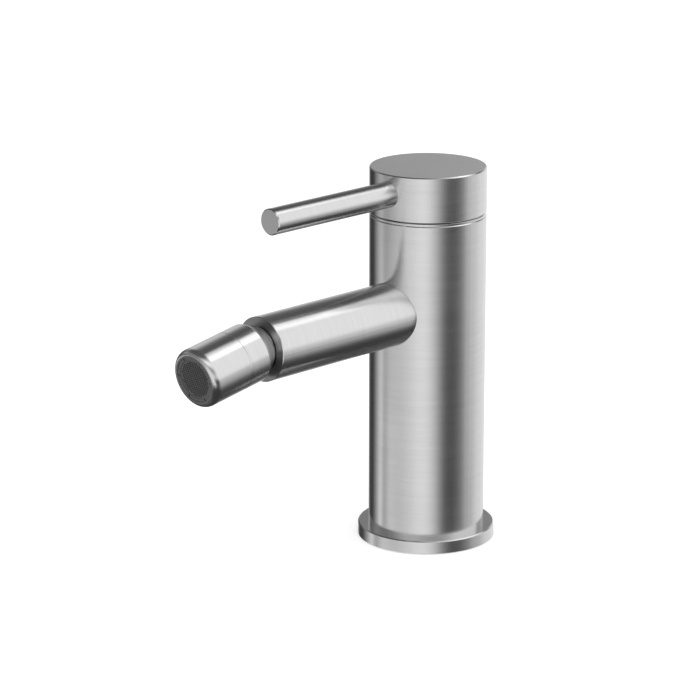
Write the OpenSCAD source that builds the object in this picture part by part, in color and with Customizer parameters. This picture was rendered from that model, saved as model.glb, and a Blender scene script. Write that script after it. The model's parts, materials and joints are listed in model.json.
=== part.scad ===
// Single-lever bidet mixer: turned steel column, fixed spout, ball-jointed outlet nozzle.
// Millimetres, +Z up, origin on the deck at the column's axis, spout towards -Y.

/* [Column] */
// Diameter of the column
body_d = 45; // [43:0.5:52]
// Height of the column's top face above the deck
body_h = 128.9; // [110:0.1:160]
// Diameter of the base ring
base_d = 53.3; // [50:0.1:64]
// Height of the base ring
base_h = 5; // [4:0.1:8]
// Diameter of the spigot under the column that the base ring slides on
spigot_d = 41; // [38:0.5:42]
// Broken edge on the visible turned pieces
edge_break = 0.4; // [0.2:0.05:0.6]
// Width of the gasket under the base ring
gasket_w = 3; // [2:0.1:3.6]
// Depth of the gasket's groove
gasket_h = 2; // [1:0.1:3]

/* [Connections] */
// Diameter of the two tapped inlet holes
inlet_d = 9; // [8:0.1:9.5]
// Depth of the inlet holes
inlet_depth = 14; // [10:0.5:20]
// Distance between the two inlet holes
inlet_spacing = 15; // [13:0.5:17]
// Distance of the inlet holes in front of the column's axis
inlet_front = 3.5; // [2:0.1:5]
// Diameter of the tapped hole for the fixing stud
stud_hole_d = 6.8; // [5:0.1:8.5]
// Depth of the stud hole
stud_hole_depth = 18; // [12:0.5:24]
// Distance of the stud hole behind the column's axis
stud_hole_back = 11; // [10:0.1:14]

/* [Handle] */
// Height of the handle cap
cap_h = 17.4; // [15:0.1:24]
// Height of the trim ring's visible band
trim_band_h = 0.9; // [0.7:0.1:1.6]
// Gap between the trim ring and the handle cap
seam_gap = 0.4; // [0.3:0.05:0.8]
// How far the trim ring's band lies inside the column's surface
trim_recess = 0.25; // [0.2:0.05:0.5]
// Diameter of the trim ring's thread in the column
trim_thread_d = 38; // [36:0.5:39.5]
// Depth of the trim ring's thread
trim_thread_depth = 4; // [3:0.1:4.4]
// Diameter of the trim ring's opening
trim_opening_d = 31; // [30:0.5:33]
// Diameter of the lever
lever_d = 10; // [8:0.1:11]
// Distance of the lever's tip from the column's axis
lever_reach = 83.8; // [60:0.1:110]
// Height of the lever's axis above the cap's lower edge
lever_rise = 9.6; // [8.5:0.1:10.5]
// Diameter of the lever's threaded root
lever_root_d = 6; // [5:0.1:7]
// Length of the lever's threaded root
lever_root_len = 8; // [6:0.1:9]
// Depth of the lever's seat in the cap
lever_seat_depth = 1; // [0.5:0.1:2]
// Diameter of the boss under the cap that holds the stem
boss_d = 13; // [12:0.1:14]
// Height of the boss's lower end above the lift axis
boss_rise = 14; // [12:0.1:15]
// Diameter of the grub screw
grub_d = 4.2; // [3:0.1:5]
// Length of the grub screw
grub_len = 4; // [3:0.1:5]
// Across flats of the grub screw's key socket
grub_key = 2; // [1.5:0.1:2.5]

/* [Cartridge] */
// Diameter of the cartridge housing
cartridge_d = 25.4; // [24.8:0.1:27]
// Depth of the cartridge chamber's floor under the column's top face
chamber_depth = 27.9; // [27.5:0.1:29]
// Wall of the cartridge housing
cartridge_wall = 1.1; // [0.8:0.1:1.2]
// Height of the housing's shoulder above the chamber floor
shoulder_h = 17.6; // [16.5:0.1:18.5]
// Height of the housing's neck above its shoulder
neck_h = 5.4; // [4:0.1:5.6]
// Wall of the housing's neck
neck_wall = 1.25; // [1:0.05:1.5]
// Diameter of the rotary guide
guide_d = 18.4; // [18:0.1:19]
// Thickness of the rotary guide's flange
guide_flange_h = 1.5; // [1:0.1:2]
// Width of the land between the chamber and the retaining nut's thread
nut_land = 2.2; // [1.5:0.1:3]
// Number of spanner notches in the retaining nut
nut_notches = 4; // [2:1:8]
// Width of a spanner notch
nut_notch_w = 3; // [2:0.1:4]
// Thickness of the cartridge's base plate
plate_h = 3.4; // [3:0.1:3.8]
// Thickness of the fixed ceramic disc
fixed_disc_h = 2.8; // [2.5:0.1:3]
// Diameter of the sliding ceramic disc
slide_disc_d = 17.8; // [17:0.1:18.2]
// Thickness of the sliding ceramic disc
slide_disc_h = 2.4; // [2.2:0.1:2.6]
// Diameter of the disc carrier
carrier_d = 18.4; // [17.5:0.1:18.6]
// Thickness of the disc carrier
carrier_h = 3; // [2.6:0.1:3.2]
// Diameter of a water inlet port
inlet_port_d = 4.6; // [4:0.1:5]
// Sideways distance of an inlet port from the axis
inlet_port_x = 6; // [5.8:0.1:6.4]
// Distance of the inlet ports in front of the axis
inlet_port_front = 3.2; // [2.8:0.1:3.6]
// Diameter of the water outlet port
outlet_port_d = 5; // [4:0.1:5.4]
// Distance of the outlet port behind the axis
outlet_port_back = 5.8; // [5:0.1:6.2]
// Diameter of the section of the port seals
seal_section = 1.3; // [1:0.1:1.6]
// Width of the square stem
stem_w = 6.5; // [6:0.1:7]
// Depth of the lift axis under the column's top face
pivot_depth = 11.9; // [11.5:0.1:12.3]
// Diameter of the stem's pin
pin_d = 3; // [2.5:0.1:3.4]
// Length of the stem's arm under the lift axis
arm_len = 5.4; // [5.2:0.1:5.6]
// Diameter of the stem's arm
arm_d = 2.4; // [2:0.1:2.6]
// Diameter of the stem's ball tip
tip_d = 3.4; // [3:0.1:3.6]
// Largest lift of the lever
lift_max = 20; // [15:1:22]

/* [Spout] */
// Diameter of the spout
spout_d = 24.5; // [22:0.1:26]
// Distance of the spout's end face from the column's axis
spout_reach = 89.1; // [75:0.1:120]
// Depth of the spout's axis under the column's top face
spout_drop = 36.1; // [35.5:0.1:42]
// Metal left between the spout's socket and the cartridge chamber
socket_wall = 2.7; // [2:0.1:3]
// Diameter of the threaded nipple
nipple_d = 10.9; // [9:0.1:12]
// Bore of the nipple
nipple_bore = 7; // [5:0.1:7.4]
// Length of the nipple in the column
nipple_in_body = 6; // [5:0.1:7]
// Length of the nipple in the spout
nipple_in_spout = 8.5; // [6:0.1:12]
// Diameter of the spout's waterway
waterway_d = 10; // [8:0.1:10.6]
// Diameter of the section of the spout's seal
spout_seal_section = 1.4; // [1:0.1:1.8]

/* [Ball joint] */
// Diameter of the ball
ball_d = 19.8; // [18.8:0.1:20]
// Distance of the ball's centre in front of the spout's end face
ball_standoff = 5.5; // [5.2:0.1:6.5]
// Distance of the ball's front flat from its centre
ball_flat = 7; // [6:0.1:7.5]
// Bore of the ball stud
ball_bore = 5.2; // [4:0.1:5.4]
// Diameter of the ball stud's collar
collar_d = 12; // [11.4:0.1:12.6]
// Diameter of the ball stud's journal
journal_d = 10; // [9.4:0.1:10.4]
// Outer diameter of the bush
bush_d = 14; // [13.4:0.1:14.4]
// Length of the bush
bush_len = 11.8; // [9:0.1:14]
// Diameter of the section of the journal's seal
journal_seal_section = 1.1; // [0.9:0.1:1.2]
// Thickness of the retaining clip
clip_h = 1; // [0.8:0.1:1.4]
// Radial width of the retaining clip
clip_w = 2.1; // [1.6:0.1:2.3]

/* [Nozzle] */
// Diameter of the nozzle
nozzle_d = 22.6; // [22.2:0.1:24]
// Downward tilt of the nozzle as it stands
nozzle_tilt = 9.8; // [0:0.1:15]
// Distance from the ball's centre to the nozzle's rear lip
lip_back = 2.6; // [2:0.1:3]
// Distance from the ball's centre back to the edge of the nozzle's rear taper
taper_back = 1.5; // [1.2:0.1:1.8]
// Distance from the ball's centre forward to the start of the rear taper
taper_front = 0.6; // [0.3:0.1:1.5]
// Radial size of the rear taper
taper_r = 1; // [0.6:0.1:1.1]
// Distance from the ball's centre to the seam between cup and sleeve
seam_front = 9.6; // [9.2:0.1:12]
// Distance from the ball's centre to the nozzle's front face
nozzle_front = 27.9; // [26:0.1:36]
// Radial size of the rounded front shoulder
shoulder_r = 1.97; // [1:0.01:2.1]
// Length of the rounded front shoulder
shoulder_len = 2.8; // [1.5:0.1:4]
// Length of the sleeve's threaded spigot in the cup
spigot_len = 5.4; // [4:0.1:5.8]
// Wall of the sleeve's threaded spigot
spigot_wall = 0.85; // [0.7:0.05:0.95]
// Length of the ball seat
seat_len = 2.3; // [2:0.1:2.5]
// Thickness of the sleeve's inner wall
inner_wall = 2; // [1.5:0.1:3]
// Diameter of the seal behind the ball seat
seat_seal_section = 1.6; // [1.2:0.1:1.8]
// Diameter of the aerator insert
aerator_d = 17.3; // [16.6:0.1:17.6]
// Wall of the aerator insert
aerator_wall = 1.1; // [0.8:0.1:1.4]
// How far the aerator insert lies inside the nozzle's front face
aerator_recess = 0.3; // [0.1:0.1:1]
// Thickness of the aerator's rubber washer
washer_h = 1.6; // [1:0.1:2]
// Number of key notches in the aerator insert's rim
key_notches = 6; // [3:1:9]
// Width of a key notch
key_notch_w = 0.8; // [0.5:0.1:1.4]
// Depth of a key notch
key_notch_depth = 0.4; // [0.2:0.1:1.2]
// Distance between neighbouring cells of the aerator grid
cell_pitch = 1.55; // [1.3:0.05:2.2]
// Thickness of the bars between the cells
cell_bar = 0.4; // [0.3:0.05:0.6]
// Thickness of the aerator grid
grid_h = 1.3; // [0.8:0.1:2]
// Width of the ledges inside the aerator insert
ledge_w = 1.2; // [0.8:0.1:1.6]
// Thickness of the flow regulator
regulator_h = 3; // [2:0.1:4]
// Diameter of the flow regulator's core
core_d = 6; // [5:0.1:6.4]
// Diameter of the flow regulator's passages
passage_d = 2.4; // [1.6:0.1:2.6]
// Number of the flow regulator's passages
passages = 8; // [4:1:10]
// Thickness of the strainer
strainer_h = 1; // [0.6:0.1:1.6]
// Diameter of the strainer's holes
strainer_hole_d = 1.1; // [0.6:0.1:1.3]
// Number of rings of strainer holes
strainer_rings = 3; // [2:1:4]

/* [Clearances] */
// Radial gap of pieces that are screwed or pressed together
fit_gap = 0.05; // [0.02:0.01:0.08]
// Radial gap of pieces that turn or slide on each other
run_gap = 0.06; // [0.03:0.01:0.1]
// Gap between the handle cap and what it passes over when it is lifted
lift_gap = 0.18; // [0.12:0.01:0.25]
// Gap between pieces that move past each other inside the cartridge
inner_gap = 0.15; // [0.1:0.01:0.2]

/* [Hidden] */
$fn = 96;
arc_step = 5;

// Column and base
body_r = body_d / 2;
base_r = base_d / 2;
spigot_r = spigot_d / 2;
gasket_mid_r = (spigot_r + base_r) / 2;

// Heights of the handle, from the column's top face
band_top = body_h + trim_band_h;
band_r = body_r - trim_recess;
cap_bottom = band_top + seam_gap;
cap_top = cap_bottom + cap_h;
lever_z = cap_bottom + lever_rise;
lever_r = lever_d / 2;
lever_seat = sqrt(pow(body_r, 2) - pow(lever_r, 2)) - lever_seat_depth;
lever_root_end = lever_seat - lever_root_len;

// Everything fixed near the cap lies inside this sphere round the lift axis
pivot_z = body_h - pivot_depth;
rim_reach = norm([body_r, body_h - edge_break - pivot_z]);
band_reach = norm([band_r, band_top - trim_recess - pivot_z]);
fixed_r = max(rim_reach, band_reach);
relief_r = fixed_r + lift_gap;
dome_r = fixed_r - 2 * lift_gap;
boss_z = pivot_z + boss_rise;
stem_top = pivot_z + relief_r - edge_break;

// Cartridge chamber and the stack of pieces on its floor
chamber_floor = body_h - chamber_depth;
cartridge_r = cartridge_d / 2;
chamber_r = cartridge_r + fit_gap;
shoulder_z = chamber_floor + shoulder_h;
neck_top = shoulder_z + neck_h;
cavity_r = cartridge_r - cartridge_wall;
guide_r = guide_d / 2;
guide_bore_r = guide_r + inner_gap;
neck_r = guide_bore_r + neck_wall;
nut_r = chamber_r + nut_land;
fixed_disc_z = chamber_floor + plate_h;
slide_disc_z = fixed_disc_z + fixed_disc_h;
carrier_z = slide_disc_z + slide_disc_h;
guide_z = carrier_z + carrier_h + inner_gap;
cavity_top = guide_z + guide_flange_h + inner_gap;
guide_top = neck_top - inner_gap;
plate_r = cavity_r - fit_gap;
seal_mid_r = inlet_port_d / 2 + seal_section / 2 + fit_gap;
tip_z = pivot_z - arm_len;
slide_max = arm_len * sin(lift_max);
ports = [
    [inlet_port_x, -inlet_port_front, inlet_port_d],
    [-inlet_port_x, -inlet_port_front, inlet_port_d],
    [0, outlet_port_back, outlet_port_d]
];

// Spout, measured along its axis from the column's axis
spout_r = spout_d / 2;
spout_z = body_h - spout_drop;
socket_floor = chamber_r + socket_wall;
ball_at = spout_reach + ball_standoff;
ball_r = ball_d / 2;
recess_r = ball_r + 6 * fit_gap;
bush_front = ball_at - recess_r - fit_gap;
bush_rear = bush_front - bush_len;
clip_front = bush_rear - run_gap;
journal_end = clip_front - 2 * clip_h;
journal_r = journal_d / 2;
journal_seal_at = bush_rear + bush_len / 2;
spout_seal_r = (nipple_d / 2 + spout_r) / 2;

// Nozzle, measured along its axis from the ball's centre
nozzle_r = nozzle_d / 2;
seat_r = ball_r + run_gap;
cup_thread_r = seat_r + 4 * run_gap;
spigot_end = seam_front - spigot_len;
spigot_bore_r = cup_thread_r - fit_gap - spigot_wall;
seat_front = spigot_end + seat_len;
wall_rear = seat_front + seat_seal_section + fit_gap;
wall_hole_r = sqrt(pow(seat_r + inner_gap, 2) - pow(min(wall_rear, seat_r), 2)) + inner_gap;
wall_front = wall_rear + inner_wall;
aerator_r = aerator_d / 2;
aerator_bore_r = aerator_r + fit_gap;
insert_rear = wall_front + washer_h;
insert_front = nozzle_front - aerator_recess;
insert_bore_r = aerator_r - aerator_wall;
grid_front = insert_front - aerator_recess;
grid_rear = grid_front - grid_h;

// Places its children on the spout's axis, +Z running forward from the column's axis
module along_spout() {
    translate([0, 0, spout_z]) rotate([90, 0, 0]) children();
}

// Places its children on the nozzle's axis, +Z running forward from the ball's centre
module along_nozzle() {
    translate([0, -ball_at, spout_z]) rotate([90 + nozzle_tilt, 0, 0]) children();
}

// Places its children on the lever's axis, +Z running forward from the column's axis
module along_lever() {
    translate([0, 0, lever_z]) rotate([90, 0, 0]) children();
}

// Round seal lying flat, by the radius of its middle line and the diameter of its section
module o_ring(mid_r, section) {
    rotate_extrude() translate([mid_r, 0]) circle(d = section);
}

// Plain tube standing on its end
module tube(outer_r, inner_r, h) {
    difference() {
        cylinder(r = outer_r, h = h);
        translate([0, 0, -1]) cylinder(r = inner_r, h = h + 2);
    }
}

// Holes for the water ports, through everything between two heights
module port_holes(low, high) {
    for (p = ports) translate([p[0], p[1], low]) cylinder(d = p[2], h = high - low);
}

// Column with its cartridge chamber, waterways, spout socket and tapped holes
module body() {
    color("silver") difference() {
        rotate_extrude() polygon([
            [0, 0], [spigot_r, 0], [spigot_r, base_h], [body_r, base_h],
            [body_r, body_h - edge_break], [body_r - edge_break, body_h], [0, body_h]
        ]);
        translate([0, 0, chamber_floor]) cylinder(r = chamber_r, h = chamber_depth + 1);
        translate([0, 0, shoulder_z - inner_gap]) cylinder(r = nut_r, h = chamber_depth);
        translate([0, 0, body_h - trim_thread_depth]) cylinder(d = trim_thread_d, h = chamber_depth);
        for (side = [-1, 1]) {
            translate([side * inlet_spacing / 2, -inlet_front, -1])
                cylinder(d = inlet_d, h = inlet_depth + 1);
            translate([side * inlet_port_x, -inlet_port_front, inlet_depth - 1])
                cylinder(d = inlet_port_d, h = chamber_floor - inlet_depth + 2);
        }
        translate([0, stud_hole_back, -1]) cylinder(d = stud_hole_d, h = stud_hole_depth + 1);
        translate([0, outlet_port_back, spout_z])
            cylinder(d = outlet_port_d, h = chamber_floor - spout_z + 1);
        along_spout() {
            translate([0, 0, -outlet_port_back])
                cylinder(d = outlet_port_d, h = socket_floor + outlet_port_back);
            translate([0, 0, socket_floor - nipple_in_body - inner_gap])
                cylinder(r = nipple_d / 2 + fit_gap, h = nipple_in_body + 1);
            translate([0, 0, socket_floor]) cylinder(r = spout_r + fit_gap, h = body_r);
        }
    }
}

// Ring that covers the hole in the deck, with the groove for its gasket
module base_ring() {
    color("silver") difference() {
        rotate_extrude() polygon([
            [spigot_r + fit_gap, 0], [base_r, 0], [base_r, base_h - edge_break],
            [base_r - edge_break, base_h], [spigot_r + fit_gap, base_h]
        ]);
        translate([0, 0, -1]) tube(gasket_mid_r + gasket_w / 2, gasket_mid_r - gasket_w / 2, gasket_h + 1);
    }
}

// Flat rubber gasket, flush with the underside of the base ring
module base_gasket() {
    half_w = gasket_w / 2 - fit_gap;
    color("dimgray") tube(gasket_mid_r + half_w, gasket_mid_r - half_w, gasket_h - fit_gap);
}

// Ring between column and handle: a thin band that shows and a dome that the cap slides over
module trim_ring() {
    color("gainsboro") difference() {
        union() {
            translate([0, 0, body_h - trim_thread_depth + fit_gap])
                cylinder(r = trim_thread_d / 2 - fit_gap, h = trim_thread_depth + trim_band_h / 2);
            rotate_extrude() polygon([
                [0, body_h], [band_r, body_h], [band_r, band_top - trim_recess],
                [band_r - trim_recess, band_top], [0, band_top]
            ]);
            intersection() {
                translate([0, 0, pivot_z]) sphere(r = dome_r);
                translate([0, 0, body_h + trim_band_h / 2]) cylinder(r = band_r - trim_recess, h = dome_r);
            }
        }
        translate([0, 0, pivot_z]) cylinder(d = trim_opening_d, h = 2 * dome_r);
    }
}

// Notched ring nut that presses the cartridge on its seals
module cartridge_nut() {
    color("goldenrod") difference() {
        translate([0, 0, shoulder_z]) tube(nut_r - fit_gap, neck_r + inner_gap, neck_h);
        for (i = [0 : nut_notches - 1]) rotate([0, 0, 45 + i * 360 / nut_notches])
            translate([neck_r + neck_wall, -nut_notch_w / 2, neck_top - neck_h / 3])
                cube([nut_r, nut_notch_w, neck_h]);
    }
}

// Cartridge housing: cup, shoulder and neck
module cartridge_housing() {
    color("white") difference() {
        union() {
            translate([0, 0, chamber_floor]) cylinder(r = cartridge_r, h = shoulder_h);
            translate([0, 0, chamber_floor]) cylinder(r = neck_r, h = shoulder_h + neck_h);
        }
        translate([0, 0, chamber_floor - 1]) cylinder(r = cavity_r, h = cavity_top - chamber_floor + 1);
        translate([0, 0, chamber_floor]) cylinder(r = guide_bore_r, h = shoulder_h + neck_h + 1);
    }
}

// Base plate with the seats of the three port seals in its underside
module cartridge_plate() {
    color("whitesmoke") difference() {
        translate([0, 0, chamber_floor]) cylinder(r = plate_r, h = plate_h);
        port_holes(chamber_floor - 1, fixed_disc_z + 1);
        for (p = ports) translate([p[0], p[1], chamber_floor - 1])
            cylinder(r = seal_mid_r + seal_section / 2 + fit_gap, h = seal_section + fit_gap + 1);
    }
}

// Rubber seals round the two inlets and the outlet
module port_seals() {
    color("black") for (p = ports)
        translate([p[0], p[1], chamber_floor + seal_section / 2]) o_ring(seal_mid_r, seal_section);
}

// Fixed ceramic disc with the three ports
module fixed_disc() {
    color("ivory") difference() {
        translate([0, 0, fixed_disc_z]) cylinder(r = plate_r, h = fixed_disc_h);
        port_holes(fixed_disc_z - 1, slide_disc_z + 1);
    }
}

// Sliding ceramic disc, whose mixing recess joins inlets and outlet when it moves forward
module slide_disc() {
    recess_mid = outlet_port_back - inlet_port_d + slide_max / 2;
    recess_rad = norm([inlet_port_x, inlet_port_front + recess_mid]) - inlet_port_d / 2 - slide_max / 3;
    color("ivory") difference() {
        translate([0, 0, slide_disc_z]) cylinder(d = slide_disc_d, h = slide_disc_h);
        translate([0, recess_mid, slide_disc_z - 1]) cylinder(r = recess_rad, h = slide_disc_h / 2 + 1);
    }
}

// Carrier on the sliding disc, driven by the stem's ball tip
module disc_carrier() {
    color("gray") translate([0, 0, carrier_z]) tube(carrier_d / 2, tip_d / 2 + inner_gap, carrier_h);
}

// Guide that turns in the housing's neck and holds the stem's pin
module rotary_guide() {
    slot_front = stem_w / 2 + slide_max / 2;
    slot_back = stem_w / 2 + (guide_top - pivot_z + stem_w / 2) * sin(lift_max) + inner_gap;
    slot_half = stem_w / 2 + inner_gap;
    color("lightsteelblue") difference() {
        union() {
            translate([0, 0, guide_z]) cylinder(r = guide_r, h = guide_top - guide_z);
            translate([0, 0, guide_z]) cylinder(r = cavity_r - 2 * inner_gap, h = guide_flange_h);
        }
        translate([-slot_half, -slot_front, guide_z - 1])
            cube([2 * slot_half, slot_front + slot_back, guide_top - guide_z + 2]);
        translate([-guide_d, 0, pivot_z]) rotate([0, 90, 0])
            cylinder(r = pin_d / 2 + fit_gap, h = 2 * guide_d);
    }
}

// Pin that the stem rocks on
module stem_pin() {
    color("silver") translate([-guide_r + edge_break, 0, pivot_z]) rotate([0, 90, 0])
        cylinder(d = pin_d, h = guide_d - 2 * edge_break);
}

// Square stem with a pin hole and, under it, the arm and ball tip that move the disc
module stem() {
    color("silver") difference() {
        union() {
            translate([-stem_w / 2, -stem_w / 2, pivot_z - pin_d])
                cube([stem_w, stem_w, stem_top - pivot_z + pin_d]);
            translate([0, 0, tip_z]) cylinder(d = arm_d, h = arm_len - pin_d + edge_break);
            translate([0, 0, tip_z]) sphere(d = tip_d);
        }
        translate([-stem_w, 0, pivot_z]) rotate([0, 90, 0]) cylinder(r = pin_d / 2 + run_gap, h = 2 * stem_w);
    }
}

// Cap with a spherical hollow that lets it rock over the trim ring, and the boss for the stem
module handle_cap() {
    color("silver") difference() {
        union() {
            difference() {
                rotate_extrude() polygon([
                    [0, cap_bottom], [body_r - edge_break / 2, cap_bottom],
                    [body_r, cap_bottom + edge_break / 2], [body_r, cap_top - edge_break],
                    [body_r - edge_break, cap_top], [0, cap_top]
                ]);
                translate([0, 0, pivot_z]) sphere(r = relief_r);
            }
            translate([0, 0, boss_z]) cylinder(d = boss_d, h = (stem_top + cap_top) / 2 - boss_z);
        }
        translate([-stem_w / 2 - fit_gap, -stem_w / 2 - fit_gap, boss_z - 1])
            cube([stem_w + 2 * fit_gap, stem_w + 2 * fit_gap, stem_top + fit_gap - boss_z + 1]);
        along_lever() {
            translate([0, 0, lever_seat]) cylinder(r = lever_r + fit_gap, h = body_r);
            translate([0, 0, boss_d / 2 + 1]) cylinder(r = lever_root_d / 2 + fit_gap, h = body_r);
            cylinder(r = grub_d / 2 + fit_gap, h = boss_d);
        }
    }
}

// Lever: plain turned rod with a threaded root
module lever() {
    color("silver") along_lever() rotate_extrude() polygon([
        [0, lever_root_end], [lever_root_d / 2, lever_root_end], [lever_root_d / 2, lever_seat],
        [lever_r, lever_seat], [lever_r, lever_reach - edge_break],
        [lever_r - edge_break, lever_reach], [0, lever_reach]
    ]);
}

// Grub screw behind the lever that clamps the cap to the stem
module grub_screw() {
    color("dimgray") along_lever() difference() {
        translate([0, 0, stem_w / 2]) cylinder(d = grub_d, h = grub_len);
        translate([0, 0, stem_w / 2 + grub_len / 2]) cylinder(r = grub_key / sqrt(3), h = grub_len, $fn = 6);
    }
}

// Spout turned from bar: waterway, nipple thread, seal groove, bush seat and ball recess
module spout() {
    seal_half = spout_seal_section / 2 + fit_gap;
    color("silver") along_spout() difference() {
        rotate_extrude() polygon([
            [0, socket_floor], [spout_r, socket_floor], [spout_r, spout_reach - edge_break / 2],
            [spout_r - edge_break / 2, spout_reach], [0, spout_reach]
        ]);
        translate([0, 0, socket_floor - 1]) cylinder(d = waterway_d, h = spout_reach);
        translate([0, 0, socket_floor - 1])
            cylinder(r = nipple_d / 2 + fit_gap, h = nipple_in_spout + inner_gap + 1);
        translate([0, 0, socket_floor - 1])
            tube(spout_seal_r + seal_half, spout_seal_r - seal_half, spout_seal_section + fit_gap + 1);
        translate([0, 0, journal_end - inner_gap]) cylinder(d = bush_d, h = spout_reach);
        translate([0, 0, ball_at]) sphere(r = recess_r);
    }
}

// Threaded nipple that joins the spout to the column and carries the water across
module spout_nipple() {
    color("goldenrod") along_spout() translate([0, 0, socket_floor - nipple_in_body])
        tube(nipple_d / 2, nipple_bore / 2, nipple_in_body + nipple_in_spout);
}

// Face seal between spout and column
module spout_seal() {
    color("black") along_spout() translate([0, 0, socket_floor + spout_seal_section / 2])
        o_ring(spout_seal_r, spout_seal_section);
}

// Bush pressed into the spout's end, in which the ball stud turns
module joint_bush() {
    color("goldenrod") along_spout() translate([0, 0, bush_rear])
        tube(bush_d / 2 - fit_gap, journal_r + run_gap, bush_len);
}

// Ball with its collar and hollow journal, grooved for a seal and a clip
module ball_stud() {
    groove_r = journal_r - journal_seal_section + run_gap;
    color("silver") along_spout() difference() {
        union() {
            translate([0, 0, ball_at]) sphere(r = ball_r);
            translate([0, 0, bush_front + run_gap]) cylinder(d = collar_d, h = ball_at - bush_front);
            translate([0, 0, journal_end]) cylinder(r = journal_r, h = ball_at - journal_end);
        }
        translate([0, 0, ball_at + ball_flat]) cylinder(r = ball_r, h = ball_r);
        translate([0, 0, journal_end - 1]) cylinder(d = ball_bore, h = ball_at);
        translate([0, 0, ball_at + ball_flat - ball_bore])
            cylinder(d1 = ball_bore, d2 = 2 * ball_bore + 1, h = ball_bore + 0.5);
        translate([0, 0, journal_seal_at - journal_seal_section])
            tube(journal_r + 1, groove_r, 2 * journal_seal_section);
        translate([0, 0, clip_front - clip_h - fit_gap])
            tube(journal_r + 1, journal_r - clip_h + fit_gap, clip_h + 2 * fit_gap);
    }
}

// Round seal on the journal
module journal_seal() {
    color("black") along_spout() translate([0, 0, journal_seal_at])
        o_ring(journal_r + run_gap - journal_seal_section / 2, journal_seal_section - 2 * fit_gap);
}

// Open spring clip that keeps the journal in the bush
module journal_clip() {
    clip_bore_r = journal_r - clip_h + 2 * fit_gap;
    color("dimgray") along_spout() translate([0, 0, clip_front - clip_h]) difference() {
        tube(min(clip_bore_r + clip_w, bush_d / 2 - 2 * inner_gap), clip_bore_r, clip_h);
        translate([0, -clip_w, -1]) cube([bush_d, 2 * clip_w, clip_h + 2]);
    }
}

// Rear half of the nozzle: spherical seat, tapered lip behind the ball and inner thread
module nozzle_cup() {
    lip_r = sqrt(pow(seat_r, 2) - pow(lip_back, 2));
    seam_break = edge_break / 3;
    color("silver") along_nozzle() difference() {
        rotate_extrude() polygon([
            [0, -lip_back], [lip_r + inner_gap, -lip_back], [nozzle_r - taper_r, -taper_back],
            [nozzle_r, taper_front], [nozzle_r, seam_front - seam_break],
            [nozzle_r - seam_break, seam_front], [0, seam_front]
        ]);
        sphere(r = seat_r);
        translate([0, 0, run_gap]) cylinder(r = seat_r + run_gap, h = nozzle_front);
        translate([0, 0, spigot_end - inner_gap]) cylinder(r = cup_thread_r, h = nozzle_front);
    }
}

// Plastic ring that presses on the ball from the front
module ball_seat() {
    color("whitesmoke") along_nozzle() difference() {
        translate([0, 0, spigot_end]) cylinder(r = spigot_bore_r - fit_gap, h = seat_front - spigot_end);
        sphere(r = seat_r);
    }
}

// Rubber ring that springs the ball seat
module seat_seal() {
    color("black") along_nozzle() translate([0, 0, seat_front + seat_seal_section / 2])
        o_ring(spigot_bore_r - seat_seal_section / 2 - fit_gap, seat_seal_section);
}

// Front half of the nozzle: threaded spigot, inner wall, aerator bore and rounded shoulder
module nozzle_sleeve() {
    seam_break = edge_break / 3;
    color("silver") along_nozzle() difference() {
        rotate_extrude() polygon(concat(
            [
                [0, spigot_end], [cup_thread_r - fit_gap, spigot_end], [cup_thread_r - fit_gap, seam_front],
                [nozzle_r - seam_break, seam_front], [nozzle_r, seam_front + seam_break]
            ],
            [for (a = [0 : arc_step : 90]) [
                nozzle_r - shoulder_r * (1 - cos(a)), nozzle_front - shoulder_len * (1 - sin(a))
            ]],
            [[0, nozzle_front]]
        ));
        translate([0, 0, spigot_end - 1]) cylinder(r = spigot_bore_r, h = wall_rear - spigot_end + 1);
        cylinder(r = wall_hole_r, h = nozzle_front);
        translate([0, 0, wall_front]) cylinder(r = aerator_bore_r, h = nozzle_front);
    }
}

// Aerator insert with a notched rim for its key and ledges for the pieces inside
module aerator_insert() {
    color("dimgray") along_nozzle() difference() {
        translate([0, 0, insert_rear]) cylinder(r = aerator_r, h = insert_front - insert_rear);
        translate([0, 0, insert_rear - 1]) cylinder(r = insert_bore_r - ledge_w, h = nozzle_front);
        translate([0, 0, insert_rear - 1]) cylinder(r = insert_bore_r, h = strainer_h + regulator_h + 1);
        translate([0, 0, grid_rear]) cylinder(r = insert_bore_r, h = nozzle_front);
        for (i = [0 : key_notches - 1]) rotate([0, 0, i * 360 / key_notches])
            translate([insert_bore_r - 1, -key_notch_w / 2, insert_front - key_notch_depth])
                cube([aerator_r, key_notch_w, nozzle_front]);
    }
}

// Outlet grid of small six-sided cells
module aerator_grid() {
    rows = ceil(insert_bore_r / cell_pitch);
    cell_r = (cell_pitch - cell_bar) / sqrt(3);
    reach = insert_bore_r - cell_pitch / 2 - cell_bar;
    color("dimgray") along_nozzle() translate([0, 0, grid_rear]) linear_extrude(height = grid_h)
        difference() {
            circle(r = insert_bore_r - fit_gap);
            for (i = [-2 * rows : 2 * rows]) for (j = [-2 * rows : 2 * rows])
                let (cell = cell_pitch * [i + j / 2, j * sqrt(3) / 2])
                    if (norm(cell) < reach) translate(cell) rotate(30) circle(r = cell_r, $fn = 6);
        }
}

// Flow regulator: a core in an annular chamber with passages through its floor
module flow_regulator() {
    passage_mid_r = (core_d / 2 + insert_bore_r - ledge_w / 2) / 2;
    color("lightgray") along_nozzle() translate([0, 0, insert_rear + strainer_h]) difference() {
        cylinder(r = insert_bore_r - fit_gap, h = regulator_h);
        for (i = [0 : passages - 1]) rotate([0, 0, i * 360 / passages]) translate([passage_mid_r, 0, -1])
            cylinder(d = passage_d, h = regulator_h + 2);
        translate([0, 0, -1]) tube(insert_bore_r - ledge_w / 2, core_d / 2, regulator_h / 2 + 1);
    }
}

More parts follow.
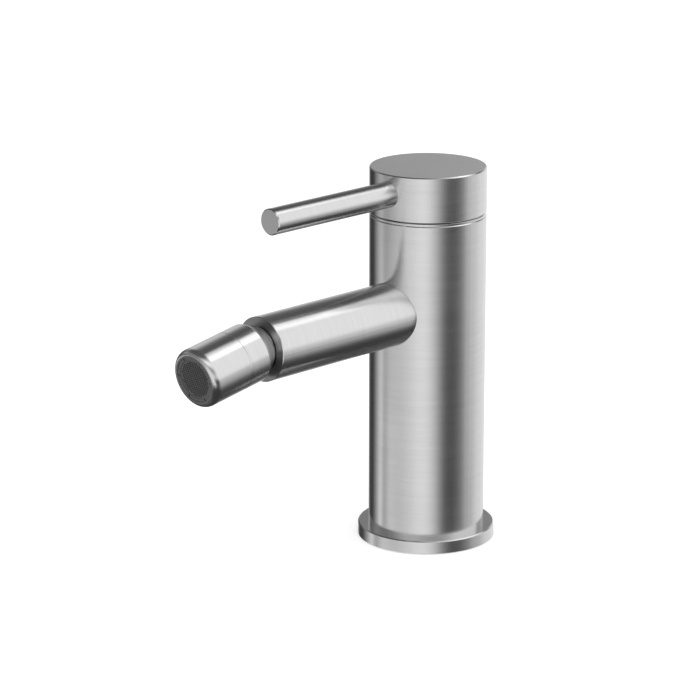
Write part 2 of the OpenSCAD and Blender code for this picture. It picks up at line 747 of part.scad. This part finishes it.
// Strainer at the aerator's inlet
module aerator_strainer() {
    ring_step = (insert_bore_r - strainer_hole_d) / strainer_rings;
    color("lightgray") along_nozzle() translate([0, 0, insert_rear]) difference() {
        cylinder(r = insert_bore_r - fit_gap, h = strainer_h);
        for (ring = [1 : strainer_rings]) for (i = [0 : 6 * ring - 1]) rotate([0, 0, i * 60 / ring])
            translate([ring * ring_step, 0, -1]) cylinder(d = strainer_hole_d, h = strainer_h + 2);
    }
}

// Rubber washer behind the aerator
module aerator_washer() {
    color("black") along_nozzle() translate([0, 0, wall_front])
        tube(aerator_r - fit_gap, insert_bore_r - ledge_w, washer_h);
}

body();
base_ring();
base_gasket();
trim_ring();
cartridge_nut();
cartridge_housing();
cartridge_plate();
port_seals();
fixed_disc();
slide_disc();
disc_carrier();
rotary_guide();
stem_pin();
stem();
handle_cap();
lever();
grub_screw();
spout();
spout_nipple();
spout_seal();
joint_bush();
ball_stud();
journal_seal();
journal_clip();
nozzle_cup();
ball_seat();
seat_seal();
nozzle_sleeve();
aerator_insert();
aerator_grid();
flow_regulator();
aerator_strainer();
aerator_washer();
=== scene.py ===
import json
import math

import bpy
from mathutils import Matrix, Vector
from mathutils.geometry import delaunay_2d_cdt


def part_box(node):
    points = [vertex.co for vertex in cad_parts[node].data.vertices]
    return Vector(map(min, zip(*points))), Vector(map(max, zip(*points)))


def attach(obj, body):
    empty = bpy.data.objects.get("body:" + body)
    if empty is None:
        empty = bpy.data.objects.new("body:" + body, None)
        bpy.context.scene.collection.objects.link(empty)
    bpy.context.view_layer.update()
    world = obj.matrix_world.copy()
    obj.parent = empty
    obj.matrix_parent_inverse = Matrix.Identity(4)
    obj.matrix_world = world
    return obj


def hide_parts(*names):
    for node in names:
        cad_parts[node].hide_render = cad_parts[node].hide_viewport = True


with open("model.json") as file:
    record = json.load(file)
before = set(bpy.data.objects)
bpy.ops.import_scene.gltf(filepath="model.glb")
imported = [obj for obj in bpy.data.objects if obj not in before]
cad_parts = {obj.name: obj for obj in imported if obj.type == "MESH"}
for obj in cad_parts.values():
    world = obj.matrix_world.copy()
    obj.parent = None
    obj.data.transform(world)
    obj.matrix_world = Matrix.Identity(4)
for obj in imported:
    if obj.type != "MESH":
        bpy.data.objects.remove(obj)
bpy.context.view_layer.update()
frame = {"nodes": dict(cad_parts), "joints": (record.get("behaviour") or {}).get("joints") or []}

# Column and foot ring: stainless bar, turned on a lathe and brushed round the bar to a fine satin.
# The column carries the spout and holds the cartridge; the ring slides on the spigot under it and
# covers the hole in the deck.
STEEL = (0.735, 0.735, 0.735)
UPRIGHT = (0.0, 0.0, 1.0)
SIDEWAYS = (1.0, 0.0, 0.0)
NODE_STEP = 190


def feed(tree, socket, value):
    """Gives a socket its value: another node's output is linked, anything else is set."""
    if isinstance(value, bpy.types.NodeSocket):
        tree.links.new(value, socket)
    elif value is not None:
        socket.default_value = value


def part(tree, kind, feeds=(), **settings):
    """A shader node with its settings; feeds go to its sockets in order, or by name."""
    made = tree.nodes.new("ShaderNode" + kind)
    made.location = (NODE_STEP * len(tree.nodes), 0)
    for name, value in settings.items():
        setattr(made, name, value)
    named = feeds.items() if isinstance(feeds, dict) else enumerate(feeds)
    for key, value in named:
        feed(tree, made.inputs[key], value)
    return made


def calc(tree, operation, a, b=0.0):
    """One sum on two values, each an output or a number."""
    return part(tree, "Math", (a, b), operation=operation).outputs[0]


# Nearly all values of a noise lie between these two
NOISE_LOW = 0.3
NOISE_HIGH = 0.7


def spread(tree, noise, low, high, noises=1):
    """Stretches a noise, or a sum of noises, over the range from low to high."""
    limits = (noise, noises * NOISE_LOW, noises * NOISE_HIGH, low, high)
    return part(tree, "MapRange", limits).outputs[0]


def effect(name, inputs, outputs):
    """An empty node group with named sockets; returns it with its two ends."""
    group = bpy.data.node_groups.new(name, "ShaderNodeTree")
    for way, sockets in (("INPUT", inputs), ("OUTPUT", outputs)):
        for socket, kind in sockets.items():
            group.interface.new_socket(socket, in_out=way, socket_type="NodeSocket" + kind)
    given = group.nodes.new("NodeGroupInput").outputs
    wanted = group.nodes.new("NodeGroupOutput").inputs
    return group, given, wanted


# Spacing of the broad lines in fine ones, and the patches in a metre
BROAD_STEP = 5.0
PATCH_SCALE = 55.0


def lathe_lines_effect():
    """Fine and broad lines that run round a turning axis, and slow patches from handling."""
    group, given, wanted = effect(
        "lathe_lines",
        {"Place": "Vector", "Axis": "Vector", "Spacing": "Float", "Run": "Float"},
        {"Fine": "Float", "Broad": "Float", "Patch": "Float"},
    )
    along = part(group, "VectorMath", (given["Place"], given["Axis"]), operation="DOT_PRODUCT")
    per_run = calc(group, "DIVIDE", 1.0, given["Run"])
    around = part(group, "VectorMath", {"Vector": given["Place"], "Scale": per_run},
                  operation="SCALE")
    for name, coarse in (("Fine", 1.0), ("Broad", BROAD_STEP)):
        step = calc(group, "MULTIPLY", given["Spacing"], coarse)
        count = calc(group, "DIVIDE", along.outputs["Value"], step)
        across = part(group, "VectorMath", {"Vector": given["Axis"], "Scale": count},
                      operation="SCALE")
        spot = part(group, "VectorMath", (across.outputs[0], around.outputs[0]), operation="ADD")
        grain = part(group, "TexNoise",
                     {"Vector": spot.outputs[0], "Scale": 1.0, "Detail": 2.0, "Roughness": 0.6})
        feed(group, wanted[name], grain.outputs[0])
    patch = part(group, "TexNoise",
                 {"Vector": given["Place"], "Scale": PATCH_SCALE, "Detail": 3.0, "Roughness": 0.5})
    feed(group, wanted["Patch"], patch.outputs[0])
    return group


lathe_lines = lathe_lines_effect()


GROOVE_DEPTH = 0.00005
# A face counts as a flat end from the first of these shares of its normal along the axis, and wholly
# at the second; a faced end is darkened to this share of its colour as painted shade, and is rougher
# by this much
END_FROM = 0.90
END_FULL = 0.99
END_SHADE_TONE = 0.6
FACED_ROUGH = 0.1
# How far the grain leans from the axis: to the cross direction, or outwards for each metre
CROSS_LEAN = 0.02
OUTWARD_LEAN = 2.0


def turned_metal(name, colour, axis, cross=None, roughness=0.2, spacing=0.00035, run=0.03, tone=0.04,
                 wear=0.025, groove=0.012, stretch=0.6, faced_and_shaded_at=None):
    """Metal turned and brushed round an axis; cross is the way its flat ends are ground.

    An end that is faced on the lathe instead is rougher than the brushed side and has lines round its
    middle, the point given last; its colour there is also darkened, as painted shade.
    """
    metal = bpy.data.materials.new(name)
    metal.use_nodes = True
    tree = metal.node_tree
    shader = tree.nodes["Principled BSDF"]
    shader.inputs["Metallic"].default_value = 1.0
    shader.inputs["Anisotropic"].default_value = stretch

    where = part(tree, "TexCoord").outputs
    here = where["Object"]
    lines = part(tree, "Group", node_tree=lathe_lines)
    for socket, value in (("Place", here), ("Axis", axis), ("Spacing", spacing), ("Run", run)):
        feed(tree, lines.inputs[socket], value)
    fine, broad, patch = lines.outputs

    light = spread(tree, calc(tree, "ADD", fine, broad), 1.0 - tone, 1.0 + tone, noises=2)
    worn = spread(tree, calc(tree, "ADD", fine, patch), roughness - wear, roughness + wear, noises=2)
    if faced_and_shaded_at:
        toward = part(tree, "VectorMath", (where["Normal"], axis), operation="DOT_PRODUCT")
        square = calc(tree, "ABSOLUTE", toward.outputs["Value"])
        # Painted shade: the colour of a faced end is darkened, so that it reads as an end lying in
        # shade
        painted_end_shade = part(tree, "MapRange", (square, END_FROM, END_FULL, 1.0, END_SHADE_TONE)).outputs[0]
        light = calc(tree, "MULTIPLY", light, painted_end_shade)
        cut = part(tree, "MapRange", (square, END_FROM, END_FULL, 0.0, FACED_ROUGH)).outputs[0]
        worn = calc(tree, "ADD", worn, cut)
    shade = part(tree, "VectorMath", {"Vector": colour, "Scale": light}, operation="SCALE")
    feed(tree, shader.inputs["Base Color"], shade.outputs[0])
    feed(tree, shader.inputs["Roughness"], worn)
    lined = part(tree, "Bump", {"Strength": groove, "Distance": GROOVE_DEPTH, "Height": fine})
    feed(tree, shader.inputs["Normal"], lined.outputs[0])

    # Leaning to the cross direction gives flat ends one even grain, leaning outwards gives rings
    if faced_and_shaded_at:
        root = [a - OUTWARD_LEAN * c for a, c in zip(axis, faced_and_shaded_at)]
        way = part(tree, "VectorMath", (here, [OUTWARD_LEAN] * 3, root), operation="MULTIPLY_ADD")
    else:
        way = part(tree, "CombineXYZ", [a + CROSS_LEAN * c for a, c in zip(axis, cross)])
    turned = part(tree, "VectorTransform", (way.outputs[0],), vector_type="VECTOR",
                  convert_from="OBJECT", convert_to="WORLD")
    feed(tree, shader.inputs["Tangent"], turned.outputs[0])
    return metal


def dress(finish, *names):
    """Gives these nodes of the frame a finish in place of their plain colour."""
    for name in names:
        mesh = frame["nodes"][name].data
        mesh.materials.clear()
        mesh.materials.append(finish)


upright_steel = turned_metal("upright_steel", STEEL, UPRIGHT, SIDEWAYS)
dress(upright_steel, "body", "base_ring")

# Foot gasket: a flat ring punched from black rubber sheet. It lies in the groove under the foot
# ring and is pressed on the deck by the fixing stud.
RUBBER = (0.030, 0.030, 0.031)
GRAIN_DEPTH = 0.00003
FLOW_BEND = 1.5


def moulded_skin_effect():
    """The fine grain of a mould's or press's face, and the slow marks of how the melt flowed."""
    group, given, wanted = effect(
        "moulded_skin",
        {"Place": "Vector", "Grain": "Float", "Flow": "Float"},
        {"Fine": "Float", "Marks": "Float"},
    )
    for name, size, bend in (("Fine", "Grain", 0.0), ("Marks", "Flow", FLOW_BEND)):
        scale = calc(group, "DIVIDE", 1.0, given[size])
        noise = part(group, "TexNoise", {"Vector": given["Place"], "Scale": scale, "Detail": 3.0,
                                         "Roughness": 0.55, "Distortion": bend})
        feed(group, wanted[name], noise.outputs[0])
    return group


moulded_skin = moulded_skin_effect()


def moulded_piece(name, colour, roughness, grain, flow, tone=0.05, wear=0.06, dent=0.05, gloss=0.5):
    """Rubber, plastic or ceramic out of a mould: even colour, grained skin, faint flow marks."""
    stuff = bpy.data.materials.new(name)
    stuff.use_nodes = True
    tree = stuff.node_tree
    shader = tree.nodes["Principled BSDF"]
    shader.inputs["Specular IOR Level"].default_value = gloss

    here = part(tree, "TexCoord").outputs["Object"]
    skin = part(tree, "Group", node_tree=moulded_skin)
    for socket, value in (("Place", here), ("Grain", grain), ("Flow", flow)):
        feed(tree, skin.inputs[socket], value)
    fine, marks = skin.outputs

    light = spread(tree, marks, 1.0 - tone, 1.0 + tone)
    shade = part(tree, "VectorMath", {"Vector": colour, "Scale": light}, operation="SCALE")
    feed(tree, shader.inputs["Base Color"], shade.outputs[0])
    worn = spread(tree, calc(tree, "ADD", fine, marks), roughness - wear, roughness + wear, noises=2)
    feed(tree, shader.inputs["Roughness"], worn)
    grained = part(tree, "Bump", {"Strength": dent, "Distance": GRAIN_DEPTH, "Height": fine})
    feed(tree, shader.inputs["Normal"], grained.outputs[0])
    return stuff


rubber = moulded_piece("rubber", RUBBER, roughness=0.68, grain=0.00018, flow=0.004, tone=0.22,
                       wear=0.10, dent=0.35, gloss=0.35)
dress(rubber, "base_gasket")

# Cartridge case: housing, base plate, turning guide and disc carrier, injection moulded in white
# acetal. Three rubber rings in the plate seal its ports on the chamber's floor.
ACETAL = (0.82, 0.82, 0.80)
white_plastic = moulded_piece("white_plastic", ACETAL, roughness=0.40, grain=0.00012, flow=0.006,
                              tone=0.03, dent=0.10)
dress(white_plastic, "cartridge_housing", "cartridge_plate", "rotary_guide", "disc_carrier")
dress(rubber, "port_seals")

# Ceramic discs: two plates of sintered alumina, lapped flat on each other. The lower one is held
# in the housing, the upper one slides and turns on it and opens the ports.
ALUMINA = (0.86, 0.85, 0.81)
ceramic = moulded_piece("ceramic", ALUMINA, roughness=0.20, grain=0.00006, flow=0.003, tone=0.02,
                        wear=0.05, dent=0.04)
dress(ceramic, "fixed_disc", "slide_disc")

# Ring nut and stem: brass, the nut turned and notched for a spanner, the stem milled square with a
# ball tip under it. The stem rocks on a hard steel pin that lies in the turning guide.
BRASS = (0.74, 0.56, 0.27)
BRASS_CUT = {"roughness": 0.27, "spacing": 0.00022, "run": 0.02, "tone": 0.10, "wear": 0.07,
             "groove": 0.03, "stretch": 0.3}
HARD_STEEL = (0.40, 0.40, 0.41)
upright_brass = turned_metal("upright_brass", BRASS, UPRIGHT, SIDEWAYS, **BRASS_CUT)
dress(upright_brass, "cartridge_nut", "stem")
pin_steel = turned_metal("pin_steel", HARD_STEEL, SIDEWAYS, UPRIGHT, roughness=0.24,
                         spacing=0.00015, run=0.012, stretch=0.3)
dress(pin_steel, "stem_pin")

# Trim band: turned from the same bar as the column and screwed into its top. Its dome carries on
# upwards under the cap, which slides over it when the lever is lifted.
dress(upright_steel, "trim_ring")

# Cap and lever: the cap is turned from bar and hollowed to a sphere, the lever is a turned pin
# screwed into it. A hard grub screw behind the lever clamps the cap on the stem.
FORWARD = (0.0, 1.0, 0.0)
dress(upright_steel, "handle_cap")
lying_steel = turned_metal("lying_steel", STEEL, FORWARD, UPRIGHT, tone=0.03)
dress(lying_steel, "lever")
screw_steel = turned_metal("screw_steel", HARD_STEEL, FORWARD, UPRIGHT, roughness=0.34,
                           spacing=0.0007, run=0.004, tone=0.12, wear=0.08, groove=0.08,
                           stretch=0.2)
dress(screw_steel, "grub_screw")

# Spout: turned from bar, bored through and let into the column, where a threaded brass nipple pulls
# it on a rubber face seal. Its front end is faced on the lathe and holds a pressed-in brass bush.
spout_low, spout_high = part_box("spout")
spout_front = (0.0, spout_low.y, (spout_low.z + spout_high.z) / 2)
# Painted shade: the faced front end is darkened in colour, for the dark end face behind the nozzle
spout_steel = turned_metal("spout_steel", STEEL, FORWARD, tone=0.03, faced_and_shaded_at=spout_front)
dress(spout_steel, "spout")
lying_brass = turned_metal("lying_brass", BRASS, FORWARD, UPRIGHT, **BRASS_CUT)
dress(lying_brass, "spout_nipple", "joint_bush")
dress(rubber, "spout_seal")

# Ball stud: turned from bar in one piece with its hollow journal, which runs in the bush. A rubber
# ring seals the journal and a spring clip keeps it in.
dress(lying_steel, "ball_stud")
dress(rubber, "journal_seal")
dress(screw_steel, "journal_clip")

# Nozzle: a cup and a sleeve, both turned from bar and screwed together over the ball with a fine
# seam. Inside, an acetal ring sprung by a rubber one presses on the ball and holds the angle.
TILT = math.radians(9.8)
NOZZLE_WAY = (0.0, -math.cos(TILT), -math.sin(TILT))
NOZZLE_UP = (0.0, -math.sin(TILT), math.cos(TILT))
nozzle_steel = turned_metal("nozzle_steel", STEEL, NOZZLE_WAY, NOZZLE_UP)
dress(nozzle_steel, "nozzle_cup", "nozzle_sleeve")
dress(white_plastic, "ball_seat")
dress(rubber, "seat_seal")

# Aerator: an insert moulded in dark grey acetal, screwed into the sleeve against a rubber washer.
# It holds a strainer and a flow regulator, and the water leaves through a honeycomb of fine cells,
# whose walls taper so that the moulding leaves its tool.
GREY_ACETAL = (0.115, 0.115, 0.118)
GRID_RADIUS = 0.0075
GRID_FRONT = 0.0273
GRID_DEPTH = 0.0013
CELL_PITCH = 0.00092
CELL_BAR = 0.00019
CELL_DRAFT = 0.00006
CELL_SIDES = 6
CELL_TURN = 30
PLAIN_RIM = CELL_PITCH * 0.75
RIM_POINTS = 96
INSIDE_ONLY = 1
MERGE_GAP = 1e-9

grey_plastic = moulded_piece("grey_plastic", GREY_ACETAL, roughness=0.42, grain=0.00010, flow=0.005,
                             tone=0.06, dent=0.12)
dress(grey_plastic, "aerator_insert")
dress(white_plastic, "flow_regulator", "aerator_strainer")
dress(rubber, "aerator_washer")


def honeycomb_mesh(name):
    """A round plate with drafted six-sided cells, its front face at height 0."""
    circle = [Vector((math.cos(a), math.sin(a))) * GRID_RADIUS
              for a in (2 * math.pi * i / RIM_POINTS for i in range(RIM_POINTS))]
    corners = [Vector((math.cos(a), math.sin(a)))
               for a in (math.radians(CELL_TURN + 360 / CELL_SIDES * k) for k in range(CELL_SIDES))]
    front_r = (CELL_PITCH - CELL_BAR) / math.sqrt(3)
    rows = math.ceil(GRID_RADIUS / CELL_PITCH) + 1
    cells = []
    for j in range(-rows, rows + 1):
        for i in range(-2 * rows, 2 * rows + 1):
            cell = Vector((i + j / 2, j * math.sqrt(3) / 2)) * CELL_PITCH
            if cell.length < GRID_RADIUS - PLAIN_RIM:
                cells.append(cell)

    flat = circle + [cell + corner * front_r for cell in cells for corner in corners]
    loops = [list(range(RIM_POINTS))]
    loops += [[RIM_POINTS + CELL_SIDES * c + k for k in range(CELL_SIDES)] for c in range(len(cells))]
    edges = [(a, b) for loop in loops for a, b in zip(loop, loop[1:] + loop[:1])]
    triangles = delaunay_2d_cdt(flat, edges, [], INSIDE_ONLY, MERGE_GAP)[2]
    in_hole = {v: h for h, loop in enumerate(loops[1:]) for v in loop}
    web = [t for t in triangles if len({in_hole.get(v, -1 - v) for v in t}) > 1]

    rear_shrink = (front_r - CELL_DRAFT) / front_r
    points = [(p.x, p.y, 0.0) for p in flat]
    for v, p in enumerate(flat):
        middle = cells[in_hole[v]] if v in in_hole else None
        q = p if middle is None else middle + (p - middle) * rear_shrink
        points.append((q.x, q.y, -GRID_DEPTH))
    count = len(flat)
    faces = [tuple(t) for t in web] + [tuple(v + count for v in reversed(t)) for t in web]
    for n, loop in enumerate(loops):
        for a, b in zip(loop, loop[1:] + loop[:1]):
            faces.append((b, a, a + count, b + count) if n == 0 else (a, b, b + count, a + count))
    mesh = bpy.data.meshes.new(name)
    mesh.from_pydata(points, [], faces)
    mesh.validate()
    return mesh


ball_middle = Vector(next(j for j in frame["joints"] if j["name"] == "nozzle_tilt")["pos_m"])
outlet_grid = bpy.data.objects.new("outlet_grid", honeycomb_mesh("outlet_grid"))
bpy.context.scene.collection.objects.link(outlet_grid)
to_outlet = Matrix.Translation(ball_middle + Vector(NOZZLE_WAY) * GRID_FRONT)
outlet_grid.data.transform(to_outlet @ Matrix.Rotation(math.radians(90) + TILT, 4, "X"))
outlet_grid.data.materials.append(grey_plastic)
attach(outlet_grid, "nozzle")
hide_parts("aerator_grid")

# Studio surround: a white room with soft oval panels of black cloth, grey card and bright diffuser
# round the mixer, which show only in its reflections. They give the brushed faces their light and
# dark bands. A panel that comes later stands in front of those before it.
WHITE = (1.0, 1.0, 1.0, 1.0)
ROOM_WHITE = 1.0
ROOM_LIGHT = 0.75


def studio_panel_effect():
    """Brightness of the room where a soft-edged oval panel stands before what is behind it."""
    group, given, wanted = effect(
        "studio_panel",
        {"Look": "Vector", "Middle": "Vector", "Side": "Vector", "Top": "Vector",
         "Half Width": "Float", "Half Height": "Float", "Inner": "Float", "Outer": "Float",
         "Behind": "Float", "Bright": "Float"},
        {"Level": "Float"},
    )
    middle, side, top = (
        part(group, "VectorMath", (given["Look"], given[name]),
             operation="DOT_PRODUCT").outputs["Value"]
        for name in ("Middle", "Side", "Top")
    )
    swing = calc(group, "DIVIDE", calc(group, "ARCTAN2", side, middle), given["Half Width"])
    lift = calc(group, "DIVIDE", calc(group, "ARCSINE", top), given["Half Height"])
    squares = calc(group, "ADD", calc(group, "MULTIPLY", swing, swing),
                   calc(group, "MULTIPLY", lift, lift))
    away = calc(group, "SQRT", squares)
    mask = part(group, "MapRange", (away, given["Outer"], given["Inner"], 0.0, 1.0),
                interpolation_type="SMOOTHSTEP")
    level = part(group, "Mix", (mask.outputs[0], None, given["Behind"], given["Bright"]),
                 data_type="FLOAT")
    feed(group, wanted["Level"], level.outputs[0])
    return group


surround = bpy.data.worlds.new("surround")
bpy.context.scene.world = surround
surround.use_nodes = True
surround.cycles.sampling_method = "NONE"
room = surround.node_tree
room.nodes.clear()
studio_panel = studio_panel_effect()
look = part(room, "TexCoord").outputs["Generated"]


def stand(behind, bearing, height, wide, high, soft, bright):
    """Stands a panel before the room; its place and half sizes are in degrees as the mixer sees it.

    The bearing goes round from +X, soft is the share of its size over which its edge fades, and
    bright is its brightness, where the white of the room is 1.
    """
    turn, rise = math.radians(bearing), math.radians(height)
    middle = Vector((math.cos(turn) * math.cos(rise), math.sin(turn) * math.cos(rise),
                     math.sin(rise)))
    side = Vector((-math.sin(turn), math.cos(turn), 0.0))
    panel = part(room, "Group", node_tree=studio_panel)
    values = (look, middle, side, middle.cross(side), math.radians(wide), math.radians(high),
              1.0 - soft, 1.0 + soft, behind, bright)
    for socket, value in zip(panel.inputs, values):
        feed(room, socket, value)
    return panel.outputs["Level"]


# Grey card low at the back, for the shade under the spout and the lever
level = stand(ROOM_WHITE, bearing=125, height=-40, wide=75, high=20, soft=0.2, bright=0.65)
# Dark strip at the front left, which dulls the tip of the lever and the end of the spout
level = stand(level, bearing=-130, height=0, wide=45, high=15, soft=0.3, bright=0.15)
# Black cloth from low in front to below the mixer, for the dark undersides
level = stand(level, bearing=-30, height=-65, wide=65, high=90, soft=0.2, bright=0.0)
# Tall dark flag at the back right, for the dark streak along the tops of spout and lever
level = stand(level, bearing=110, height=15, wide=30, high=55, soft=0.2, bright=0.10)
# Dark flag at the back left, for the dark left edge of the column and the cap
level = stand(level, bearing=170, height=-5, wide=25, high=35, soft=0.6, bright=0.05)
# Small bright box high at the right, for the white streaks on nozzle, spout and lever
level = stand(level, bearing=75, height=60, wide=15, high=15, soft=0.2, bright=1.90)
# Broad white sheet low in front, for the light left half of the column
level = stand(level, bearing=-40, height=-35, wide=55, high=70, soft=0.6, bright=0.95)
# Black cloth straight below, so that the sheet doesn't light the undersides
level = stand(level, bearing=-75, height=-90, wide=60, high=60, soft=0.2, bright=0.05)
# Dark cloth high in front, which the lamp's diffuser hangs before
level = stand(level, bearing=-80, height=45, wide=70, high=25, soft=0.5, bright=0.20)
# The lamp's broad diffuser high in front
level = stand(level, bearing=-50, height=50, wide=30, high=15, soft=0.8, bright=1.25)
# Dark strip at the right, for the dark band down the column
level = stand(level, bearing=0, height=-15, wide=30, high=10, soft=0.9, bright=0.05)
# Black cloth overhead at the back left, for the dark streak high on the nozzle
level = stand(level, bearing=-165, height=65, wide=40, high=45, soft=0.4, bright=0.10)
# Dark card low at the left, for the nozzle's dark front rim
level = stand(level, bearing=-140, height=-50, wide=20, high=30, soft=0.2, bright=0.10)
# White sheet at the back right, for the light right side of the column
level = stand(level, bearing=105, height=-5, wide=35, high=25, soft=0.6, bright=0.90)
# Dark card low at the right, which carries the column's band on to the nozzle's underside
level = stand(level, bearing=5, height=-40, wide=20, high=25, soft=0.8, bright=0.05)

ray = part(room, "LightPath").outputs
seen = part(room, "Background", (WHITE, ROOM_WHITE)).outputs[0]
mirrored = part(room, "Background", (WHITE, level)).outputs[0]
falling = part(room, "Background", (WHITE, ROOM_LIGHT)).outputs[0]
on_metal = calc(room, "MAXIMUM", ray["Is Glossy Ray"], ray["Is Transmission Ray"])
lit = part(room, "MixShader", (on_metal, falling, mirrored)).outputs[0]
whole = part(room, "MixShader", (ray["Is Camera Ray"], lit, seen)).outputs[0]
part(room, "OutputWorld", (whole,))

# Studio floor: white paper under the mixer, lit so that it goes over into the white room without an
# edge and keeps only the soft shadow round the foot. A broad lamp hangs above and in front.
FLOOR_HALF = 4.0
FLOOR_DROP = -0.0003
PAPER = (0.8, 0.8, 0.8, 1.0)
PAPER_GLOW = 0.45
LAMP_PLACE = Vector((0.3, -0.4, 1.4))
LAMP_AIM = Vector((0.0, -0.03, 0.07))
LAMP_POWER = 6.0
LAMP_SIZE = 1.2

corners = [(x * FLOOR_HALF, y * FLOOR_HALF, FLOOR_DROP)
           for x, y in ((-1, -1), (1, -1), (1, 1), (-1, 1))]
floor_mesh = bpy.data.meshes.new("floor")
floor_mesh.from_pydata(corners, [], [(0, 1, 2, 3)])
floor = bpy.data.objects.new("floor", floor_mesh)
bpy.context.scene.collection.objects.link(floor)
floor.visible_glossy = False

paper = bpy.data.materials.new("paper")
paper.use_nodes = True
sheet = paper.node_tree
sheet.nodes.clear()
matt = part(sheet, "BsdfDiffuse", (PAPER,)).outputs[0]
glow = part(sheet, "Emission", (WHITE, PAPER_GLOW)).outputs[0]
bright_paper = part(sheet, "AddShader", (matt, glow)).outputs[0]
by_camera = part(sheet, "LightPath").outputs["Is Camera Ray"]
shown_paper = part(sheet, "MixShader", (by_camera, matt, bright_paper)).outputs[0]
part(sheet, "OutputMaterial", (shown_paper,))
floor_mesh.materials.append(paper)

lamp_light = bpy.data.lights.new("lamp", "AREA")
lamp_light.energy = LAMP_POWER
lamp_light.size = LAMP_SIZE
lamp = bpy.data.objects.new("lamp", lamp_light)
bpy.context.scene.collection.objects.link(lamp)
lamp.location = LAMP_PLACE
lamp.rotation_mode = "QUATERNION"
lamp.rotation_quaternion = (LAMP_AIM - LAMP_PLACE).to_track_quat("-Z", "Y")
lamp.visible_glossy = False

# Camera: in front of the mixer's right side and well above it, as for the photograph, with a long
# lens that looks down on it by about 16 degrees.
CAMERA_PLACE = (0.7895, -0.8392, 0.4063)
CAMERA_YAW = math.radians(44.735)
CAMERA_PITCH = math.radians(16.078)
CAMERA_LENS = 158.96

lens = bpy.data.cameras.new("camera")
lens.lens = CAMERA_LENS
camera = bpy.data.objects.new("camera", lens)
bpy.context.scene.collection.objects.link(camera)
view_way = Vector((-math.sin(CAMERA_YAW) * math.cos(CAMERA_PITCH),
                   math.cos(CAMERA_YAW) * math.cos(CAMERA_PITCH), -math.sin(CAMERA_PITCH)))
camera.location = CAMERA_PLACE
camera.rotation_mode = "QUATERNION"
camera.rotation_quaternion = view_way.to_track_quat("-Z", "Y")
bpy.context.scene.camera = camera
bpy.context.scene.view_settings.view_transform = "Standard"
